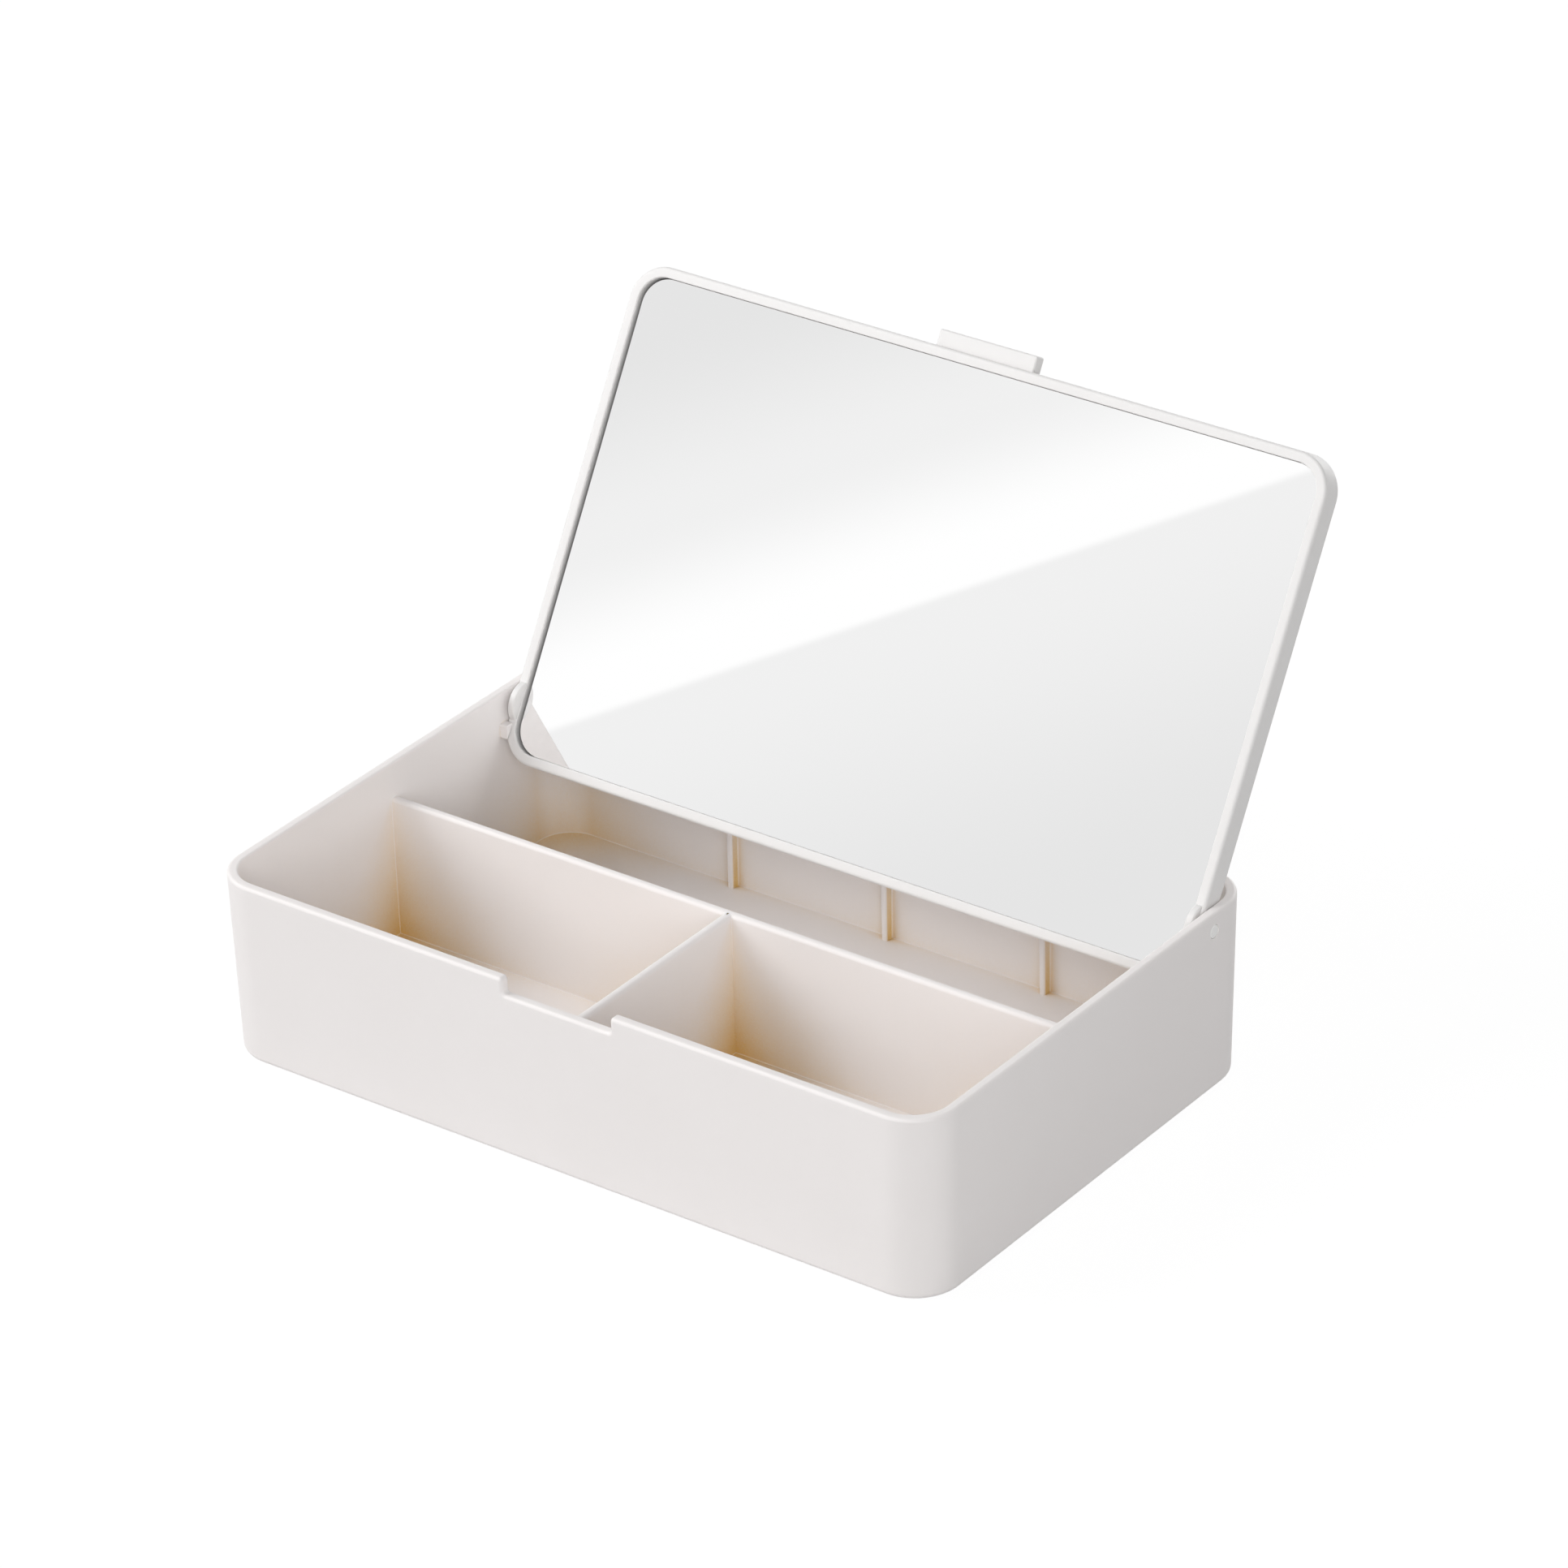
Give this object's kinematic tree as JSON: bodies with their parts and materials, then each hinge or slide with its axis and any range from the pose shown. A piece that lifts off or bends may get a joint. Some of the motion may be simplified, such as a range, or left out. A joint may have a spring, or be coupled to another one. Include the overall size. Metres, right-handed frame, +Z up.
{
  "type": "vanity box with mirror",
  "caption": "Open rectangular cosmetics tray with rounded corners, compartments and a finger notch, and a hinged lid that holds a mirror on its inner side.",
  "frame": {"origin": "middle of the tray's flat underside, on the surface that the box stands on", "axes": "+X to the right along the long side and along the hinge axis, +Y to the back where the hinge is, +Z up. The front with the finger notch faces -Y. Stored with the lid open on its stops."},
  "size_m": [0.22, 0.1888, 0.152],
  "materials": {
    "tray_plastic": "satin moulded, warm off-white",
    "lid_plastic": "satin moulded, warm off-white",
    "mirror_glass": "silvered flat glass, ground edge",
    "foam_tape": "closed-cell foam, matt"
  },
  "bodies": {
    "tray_body": {"tray": "tray_plastic"},
    "lid_body": {"lid_frame": "lid_plastic", "mirror": "mirror_glass", "tape_left": "foam_tape", "tape_middle": "foam_tape", "tape_right": "foam_tape"}
  },
  "joints": [
    {"name": "lid_hinge", "type": "hinge", "parent": "tray_body", "child": "lid_body", "pos_m": [0, 0.0519, 0.0461], "axis": [1, 0, 0], "range_deg": [0, 120.4]}
  ]
}
